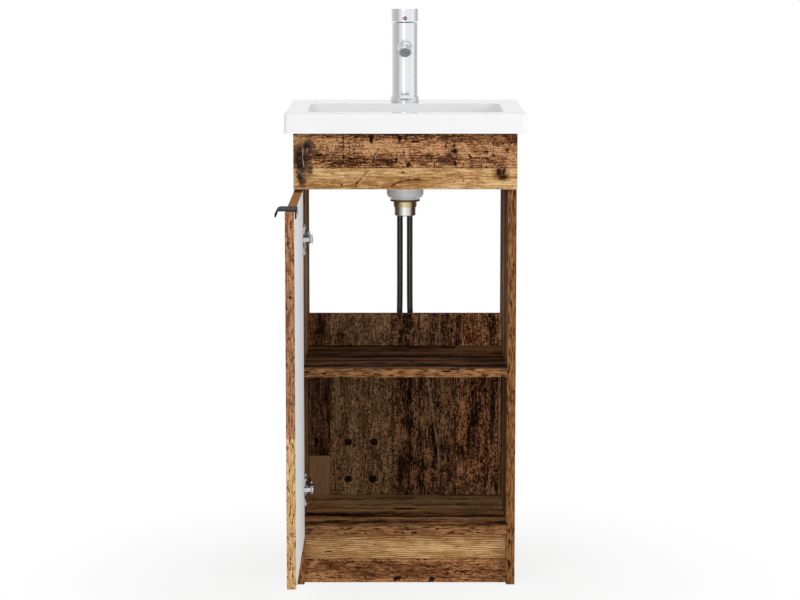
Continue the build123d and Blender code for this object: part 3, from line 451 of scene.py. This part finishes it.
# Side panels
# The two upright boards stand on the floor and carry the rest. Their planks stand upright, and a plain
# brown strip covers their front edges.
side_print = OldWood("side panel print", 2, 1)
colour = side_print.planks([
    (0.0350, "35200F", "74523A", "AB8158", 1.0),
    (0.1180, "2A180D", "5E3D28", "946847", 1.0),
    (0.1800, "5E3C20", "98704A", "C99F70", 0.5),
    (0.2500, "321B0E", "6E4A32", "A67A54", 1.0),
    (0.3065, "24150D", "533725", "8A6546", 1.2),
])
colour = side_print.curls(colour, 0.48, "26140B")
colour = side_print.checks(colour, 0.5, 0.8)
colour = side_print.flecks(colour, 0.62, 110)
colour = side_print.marks(colour, [
    (620, 75, 70, 15, 3),
    (230, 210, 55, 12, -4),
    (700, 232, 40, 9, 6),
], "24150C", 0.8, 1.2)
colour = side_print.marks(colour, [
    (628, 75, 22, 5, 3),
    (236, 211, 16, 4, -4),
    (440, 5, 9, 5),
    (140, 145, 8, 6),
    (345, 94, 48, 1.6, 5),
    (555, 227, 55, 1.7, -3),
], flat=side_print.fine)
boards_front = -0.0230
front_edge = side_print.across < boards_front
colour = side_print.edging(colour, front_edge, [(0, "563318", "9A6A40")], 0.57)
side_print.finished(colour).on("side_panel_left", "side_panel_right")


# Shelf and bottom panel
# Two boards between the side panels, with the print's fibres from side to side.
for name, rows, dashes in (
    (
        "shelf",
        [
            (0.0500, "140B06", "4C3120", "86603E", 0.5),
            (0.1700, "0E0805", "402818", "80583A", 0.5),
            (0.2415, "1C1009", "5C3D26", "9A7048", 0.5),
        ],
        [(-170, 379, 8, 1.8), (-51, 376, 7, 1.6), (70, 380, 9, 1.7), (140, 374, 5, 1.4)],
    ),
    (
        "bottom_panel",
        [
            (0.1225, "1E1008", "704A2E", "B88658", 0.5),
            (0.2415, "4A331C", "A07A4E", "D0A878", 0.5),
        ],
        [(-166, 99, 7, 2), (-50, 100, 8, 1.8), (82, 93, 8, 1.6), (118, 101, 6, 1.4)],
    ),
):
    board_print = OldWood(name + " print", 0, 1)
    colour = board_print.planks(rows, 4.5)
    colour = board_print.flecks(colour, 0.62, 40)
    colour = board_print.checks(colour, 0.52, 0.5)
    colour = board_print.marks(colour, [
        (-2, 118, 26, 10),
        (-3, 199, 22, 3.5),
        (140, 60, 40, 9),
        (-120, 20, 30, 6),
    ])
    if name == "shelf":
        block_left = 0.093
        block_front = 0.1835
        block = (board_print.along > block_left) * (board_print.across > block_front)
        pale = board_print.mix(board_print.thread, tone("6E4E30"), tone("A88058"))
        colour = board_print.mix(block * 0.7, colour, pale)
    front_edge = board_print.across < boards_front
    colour = board_print.edging(colour, front_edge, [(0, "5C3A1E", "A87850")], 0.57)
    colour = board_print.marks(colour, dashes, flat=board_print.edge)
    board_print.finished(colour).on(name)


# Back panel
# Upright board behind the two compartments. It stops short of the basin, so that the pipes can be reached.
# Its planks stand upright, and one of them has four old nail holes. The rail above it has the same print.
back_print = OldWood("back panel print", 2, 0)
first_joint = -0.1387
second_joint = -0.0240
colour = back_print.planks([
    (first_joint, "2C180D", "7A5038", "AC7C5A", 1.0),
    (second_joint, "6A4A2E", "A67C54", "D0A67C", 1.3),
    (0.0943, "0E0806", "5E3E2A", "C08C64", 1.3),
    (0.1720, "160B06", "8E5A38", "E6A878", 1.5),
    (0.1775, "80603E", "BC9468", "DCB48A", 0.6),
], 1.7)
second = (back_print.across > first_joint) * (back_print.across < second_joint)
colour = back_print.mix(second, back_print.checks(colour, 0.38, 0.9), back_print.specks(colour, 0.56))
colour = back_print.flecks(colour, 0.6, 60)
colour = back_print.curls(colour, 0.5, "140C07")
colour = back_print.marks(colour, [
    (418, -154, 26, 12),
    (405, -120, 6, 16),
    (150, -6, 40, 12),
    (250, 162, 90, 6),
    (290, -145, 30, 7),
    (330, 30, 60, 8, 4),
    (200, 55, 50, 6, -5),
    (240, -22, 110, 2.2),
    (220, 120, 40, 4, 6),
], "0F0906", 0.8, 1.6)
colour = back_print.marks(colour, [
    (204, -104.5, 8.0, 8.0),
    (204, -57.3, 8.0, 8.0),
    (134, -105.0, 7.6, 8.2),
    (134, -59.2, 8.4, 8.0),
    (150, -160, 6, 4),
    (205, -163, 8, 5),
], flat=back_print.fine, soft=4.0)
colour = back_print.cracks(colour, [
    [(330, 40), (280, 50), (240, 54), (200, 61), (150, 64)],
], 2.0, "C09A76", 0.6)
block_low = 0.104
block_high = 0.178
block = (back_print.along > block_low) * (back_print.along < block_high) * (back_print.across < first_joint)
colour = back_print.mix(block, colour, back_print.mix(back_print.thread, tone("7A5A3A"), tone("D0A678")))
back_print.finished(colour).on("back_panel", "rear_rail")


# Plinth
# Board under the bottom panel, set back from the front. Its upper plank is pale with close growth rings,
# its lower one is red and worn.
plinth_print = OldWood("plinth print", 0, 2)
plinth_joint = 0.0424
plinth_top = 0.0905
colour = plinth_print.planks([
    (plinth_joint, "623A22", "92623E", "BC885A", 0.8),
    (plinth_top, "A47644", "C09462", "DEB682", 0.25),
])
colour = plinth_print.rings(colour, plinth_joint, plinth_top, 0.0039, 0.95, "6A421C")
lower_plank = plinth_print.across < plinth_joint
worn_colour = plinth_print.flecks(plinth_print.curls(colour, 0.42, "28130A"), 0.58, 110)
colour = plinth_print.mix(lower_plank, colour, worn_colour)
colour = plinth_print.flecks(colour, 0.66, 60)
colour = plinth_print.marks(colour, [
    (-14.4, 7, 9, 6, 20),
    (47, 6, 8, 6),
    (-134, 56, 9, 1.8),
    (100, 20, 20, 1.6, 4),
    (-100, 36, 14, 1.8, 8),
])
colour = plinth_print.cracks(colour, [
    [(178, 23), (150, 18), (110, 19), (92, 14)],
    [(-60, 38), (-20, 30), (10, 33), (60, 27)],
    [(-80, 12), (-45, 14), (-10, 8)],
    [(-24, 40), (-30, 24), (-16, 12)],
], 1.0)
plinth_print.finished(colour).on("plinth")


# Door
# One board, open to the left. Its outer face and edges have the old-wood print, and its inner face is plain
# pale grey melamine.
door_print = OldWood("door print", 2, 1)
colour = door_print.planks([
    (-0.3300, "52300F", "9C6F45", "CFA273", 0.7),
    (-0.2400, "30190C", "754D32", "B08459", 1.0),
    (-0.1500, "2A180E", "5F4029", "9A724C", 1.2),
    (-0.0800, "5E3C20", "98704A", "CBA173", 0.5),
    (-0.0280, "3C2110", "7C5438", "B48A5C", 1.0),
])
colour = door_print.curls(colour, 0.48, "26140B")
colour = door_print.checks(colour, 0.48, 0.8)
colour = door_print.flecks(colour, 0.62, 110)
colour = door_print.marks(colour, [
    (600, -300, 60, 13, 4),
    (240, -190, 70, 12, -3),
    (520, -60, 40, 8, 5),
], "24150C", 0.8, 1.2)
colour = door_print.marks(colour, [
    (606, -300, 18, 4, 4),
    (246, -190, 20, 4, -3),
    (420, -100, 9, 6),
    (330, -370, 10, 7),
    (475, -233, 55, 1.7, -3),
    (190, -56, 42, 1.6, 4),
], flat=door_print.fine)
free_end = -0.4070
free_edge = door_print.across < free_end
colour = door_print.edging(colour, free_edge, [
    (0, "B0844F", "DFB683"),
    (0.334, "84553A", "B8835C"),
    (0.350, "744830", "B9865F"),
], 0.58)
colour = door_print.mix(free_edge, colour, door_print.specks(colour, 0.63, "3A2014"))
door_top = 0.6966
top_edge = door_print.along > door_top
top_print = door_print.mix(door_print.thread, tone("7E5028"), tone("C68C54"))
colour = door_print.mix(top_edge, colour, top_print)
# Painted shadow: the door's top edge is darkened within about 75 mm of the cabinet's front, near the hinge,
# for the shade that the apron and basin cast on it.
door_top_shadow = ((door_print.across + 0.075 + (door_print.worn - 0.5) * 0.05) * 40).held() * top_edge
colour = door_print.mix(door_top_shadow * 0.8, colour, tone("2A170C"))
inner_side = -0.17655
inner_face = door_print.through > inner_side
fog = door_print.noise(door_print.place, 260, 3)
colour = door_print.mix(inner_face, colour, door_print.mix(fog, tone("DADBDB"), tone("E3E3E4")))
door_print.finished(colour).on("door_panel")


# Door pads
# Two soft clear pads on the inner face of the door's free corners, which meet the side panel.
pad_finish = Finish("soft clear pad", {"Specular IOR Level": 0.5, "IOR": 1.45})
grain = pad_finish.noise(pad_finish.place, 1500, 2)
pad_finish.paint({
    "Base Color": pad_finish.mix(grain, tone("C9CAC6"), tone("DEDFDC")),
    "Roughness": 0.22 + grain * 0.1,
})
pad_finish.relief(grain, 0.0001, 0.4)
pad_finish.on("door_bumpers")


# Basin
# Vitreous china with a clear, glossy white glaze, cast in one piece and laid on the cabinet.
glaze = Finish("white glaze", {"Specular IOR Level": 0.45, "Coat Roughness": 0.04})
ripple = glaze.noise(glaze.place, 38, 2)
speck = glaze.noise(glaze.place, 700, 2)
glaze.paint({
    "Base Color": glaze.mix(ripple, tone("E6E6E7"), tone("ECECEC")),
    "Roughness": 0.12 + speck * 0.06,
    "Coat Weight": 0.2 + ripple * 0.2,
})
glaze.relief(ripple, 0.0006, 0.25)
glaze.on("basin")


# Door handle
# Strip of aluminium, bent over the door's top edge, with a matt black powder coat.
powder = Finish("black powder coat", {"Specular IOR Level": 0.16})
orange_peel = powder.noise(powder.place, 1400, 3)
powder.paint({
    "Base Color": powder.mix(orange_peel, tone("0E1112"), tone("1E2325")),
    "Roughness": 0.5 + orange_peel * 0.2,
})
powder.relief(orange_peel, 0.0002, 0.5)
powder.on("door_handle")


# Hinges and their screws
# Two concealed hinges, pressed from steel sheet and nickel plated: a cup in the door, a forked link, and an
# arm on a winged plate. The handle's screws and the ends of the hoses have the same plate.
def metal(name, dark, light, roughness, brushed=0.0, scale=300):
    """Metal with faint clouds in its tone and gloss, brushed round or along where asked."""
    finish = Finish(name, {"Metallic": 1.0})
    x, y, z = finish.split(finish.place)
    cloud = finish.noise(finish.place, scale, 3)
    lines = finish.noise(finish.join(x * 60, y * 60, z * 4000), 1.0, 2)
    finish.paint({
        "Base Color": finish.mix(cloud, tone(dark), tone(light)),
        "Roughness": roughness * 0.75 + cloud * (roughness * 0.5) + lines * (brushed * 0.3),
    })
    finish.relief(lines * brushed + cloud * 0.2, 0.00012, 0.35)
    return finish


nickel = metal("nickel plate", "B4B6B8", "D6D7D8", 0.24)
nickel.on(
    "hinge_cup_upper", "hinge_cup_lower", "hinge_arm_upper", "hinge_arm_lower", "hinge_plate_upper",
    "hinge_plate_lower", "hinge_link_upper", "hinge_link_lower", "hinge_cup_pins", "hinge_arm_pins",
    "hinge_cup_screws", "hinge_plate_screws", "hinge_adjusting_screws", "handle_screws",
    "hose_nut_hot", "hose_nut_cold", "hose_tails",
)


# Tap
# Turned and cast brass under polished chrome: a column with a short spout, a cap that turns and tips, and a
# pin lever in its front. The waste's flange and plug match it.
chrome = metal("polished chrome", "E9EAEC", "F4F4F5", 0.05)
chrome.on("tap_body", "tap_base_ring", "tap_cap", "tap_lever", "aerator_ring", "waste_flange", "waste_plug")


# Aerator
# Grey plastic insert in the spout's mouth, with a net of small square holes.
net = Finish("aerator net", {"Specular IOR Level": 0.4})
x, y, z = net.split(net.place)
net_waves = 4200
bars = []
for part in (x, y * 0.6 - z * 0.8):
    bars.append(net.maths("SINE", part * net_waves))
mesh_lines = net.most(*bars).held()
net.paint({
    "Base Color": net.mix(mesh_lines, tone("5A5D5F"), tone("AEB1B3")),
    "Roughness": 0.45 + mesh_lines * 0.15,
})
net.relief(mesh_lines, 0.0004, 0.6)
net.on("aerator_insert")


# Temperature mark
# Small enamelled disc under the lever, red for hot on its left half and blue for cold on its right half,
# with a pale centre.
enamel = Finish("red and blue enamel", {"Specular IOR Level": 0.5})
x = enamel.split(enamel.place)[0]
wear = enamel.noise(enamel.place, 1800, 2)
halves = enamel.mix(x > 0, tone("B5303E"), tone("3A5688"))
disc_low, disc_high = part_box("temperature_index")
centre = (Vector(disc_low) + Vector(disc_high)) / 2
from_centre = enamel.node("VectorMath", {"operation": "DISTANCE"}, {0: enamel.place, 1: centre}, "Value")
core = (3.0 - from_centre * 1500).held()
enamel.paint({
    "Base Color": enamel.mix((wear * 0.15 + core * 0.6).held(), halves, tone("B9B4BC")),
    "Roughness": 0.25 + wear * 0.15,
})
enamel.relief(wear, 0.0001, 0.3)
enamel.on("temperature_index")


# Waste nut and brass pieces
# Turned brass, left bare: the nut on the waste's thread, the plug's latch, the fixing nut under the tap,
# and the nut and stem of its cartridge.
brass = metal("turned brass", "CDB680", "EEDCAE", 0.3, 0.8)
brass.on("drain_nut", "plug_latch", "stud_nut", "cartridge_nut", "cartridge_stem")


# Waste outlet
# Bright metal tube that goes into the trap, left with fine turning lines.
turned = metal("turned steel", "DEDDDA", "F2F1EF", 0.26, 0.8)
turned.on("drain_tailpiece")


# Seals
# Dark rubber rings with an olive bloom, under the basin, the plug, the tap's foot and the fixing plate.
rubber = Finish("black rubber", {"Specular IOR Level": 0.35})
bloom = rubber.noise(rubber.place, 500, 3)
rubber.paint({
    "Base Color": rubber.mix(bloom, tone("383424"), tone("6E6548")),
    "Roughness": 0.5 + bloom * 0.2,
})
rubber.relief(bloom, 0.0002, 0.4)
rubber.on("drain_gasket", "plug_seal", "tap_base_seal", "horseshoe_seal")


# Cabinet fasteners and fixings
# Zinc-plated cams, bolts, stud, plate and cap screw, and beech dowels. They sit in the boards, in the cap
# and under the deck.
zinc = metal("zinc plate", "A2A49F", "C9CAC4", 0.34, 0.0, 800)
zinc.on("cam_bolts", "cam_discs", "tap_stud", "horseshoe_plate", "cap_grub_screw")
beech = OldWood("beech", 0, 2)
colour = beech.planks([(1.0, "A98455", "C7A273", "DCC094", 0.3)])
beech.finished(colour).on("dowels")


# Cartridge
# White moulded plastic body and guide inside the column.
moulded = Finish("white moulded plastic", {"Specular IOR Level": 0.45})
skin = moulded.noise(moulded.place, 900, 2)
moulded.paint({
    "Base Color": moulded.mix(skin, tone("D6D6D2"), tone("E9E9E6")),
    "Roughness": 0.35 + skin * 0.15,
})
moulded.relief(skin, 0.0001, 0.3)
moulded.on("cartridge_body", "cartridge_guide")


# Floor
# Pale seamless floor, which fades to plain white away from the unit and keeps its soft shadow.
floor_half = 4
ground = bpy.data.meshes.new("floor")
sheet = bmesh.new()
bmesh.ops.create_grid(sheet, x_segments=1, y_segments=1, size=floor_half)
sheet.to_mesh(ground)
sheet.free()
floor = bpy.data.objects.new("floor", ground)
bpy.context.scene.collection.objects.link(floor)
floor.location = (0, 0, -0.0005)
paving = bpy.data.materials.new("pale floor")
paving.use_nodes = True
floor.data.materials.append(paving)
drawn = Nodes(paving.node_tree)
drawn.tree.nodes.clear()
place = drawn.node("TexCoord", {}, {}, "Object")
reach = drawn.node("VectorMath", {"operation": "LENGTH"}, {0: place}, "Value")
fade = (reach * 2.4 - 0.7).held()
paths = drawn.node("LightPath", {}, {}, "Is Camera Ray").socket.node
seen = (Wire(drawn, paths.outputs["Is Camera Ray"]) + Wire(drawn, paths.outputs["Is Glossy Ray"])).held()
matt = drawn.node("BsdfDiffuse", {}, {"Color": (0.9, 0.9, 0.9, 1)})
white = drawn.node("Emission", {}, {"Color": (1, 1, 1, 1), "Strength": 1.0})
plain = drawn.node("MixShader", {}, {0: seen * (fade * 0.2 + 0.8), 1: matt, 2: white})
output = drawn.tree.nodes.new("ShaderNodeOutputMaterial")
drawn.feed(output.inputs["Surface"], plain)


# Light
# A white tent with soft grey panels round the sides, which only the polished pieces mirror. A large soft
# lamp stands high in front on the left, another lower on the right, and a tall strip lamp beside the
# camera.
world = bpy.data.worlds.new("surround")
bpy.context.scene.world = world
world.use_nodes = True
surround = Nodes(world.node_tree)
surround.tree.nodes.clear()
paths = surround.node("LightPath", {}, {}, "Is Camera Ray").socket.node
mirrored = Wire(surround, paths.outputs["Is Glossy Ray"])
direct = Wire(surround, paths.outputs["Is Camera Ray"])
through_clear = Wire(surround, paths.outputs["Is Transmission Ray"])
plain_seen = (direct + through_clear).held()
x, y, z = surround.split(surround.node("TexCoord", {}, {}, "Generated"))
bearing = surround.maths("ARCTAN2", x, y * -1)
panels = [
    (-180, 1.0), (-120, 0.65), (-65, 0.5), (-45, 0.8), (-15, 1.0),
    (50, 0.9), (75, 1.0), (118, 0.45), (155, 0.9), (180, 1.0),
]
stops = [(turn / 360 + 0.5, grey) for turn, grey in panels]
tent = surround.node("ValToRGB", {"stops": stops}, {0: bearing * (0.5 / pi) + 0.5})
plain_light = 0.6 - surround.most(z, 0.0) * 0.12
strength = plain_seen + (1 - plain_seen) * (mirrored * tent + (1 - mirrored) * plain_light)
output = surround.tree.nodes.new("ShaderNodeOutputWorld")
backdrop = surround.node("Background", {}, {"Color": (1, 1, 1, 1), "Strength": strength})
surround.feed(output.inputs["Surface"], backdrop)


def lamp(name, place, aim, size, power, mirrored=False):
    light = bpy.data.lights.new(name, "AREA")
    light.shape = "RECTANGLE"
    light.size, light.size_y = size
    light.energy = power
    made = bpy.data.objects.new(name, light)
    bpy.context.scene.collection.objects.link(made)
    made.location = place
    made.rotation_euler = (Vector(aim) - Vector(place)).to_track_quat("-Z", "Y").to_euler()
    made.visible_glossy = mirrored


lamp("key lamp", (-1.6, -2.8, 2.4), (0, 0, 0.5), (1.6, 1.6), 36)
lamp("fill lamp", (2.6, -1.6, 1.2), (0, 0, 0.5), (1.6, 1.6), 40)
lamp("strip lamp", (-0.75, -3.6, 0.6), (0, 0, 0.6), (0.5, 2.2), 10, True)
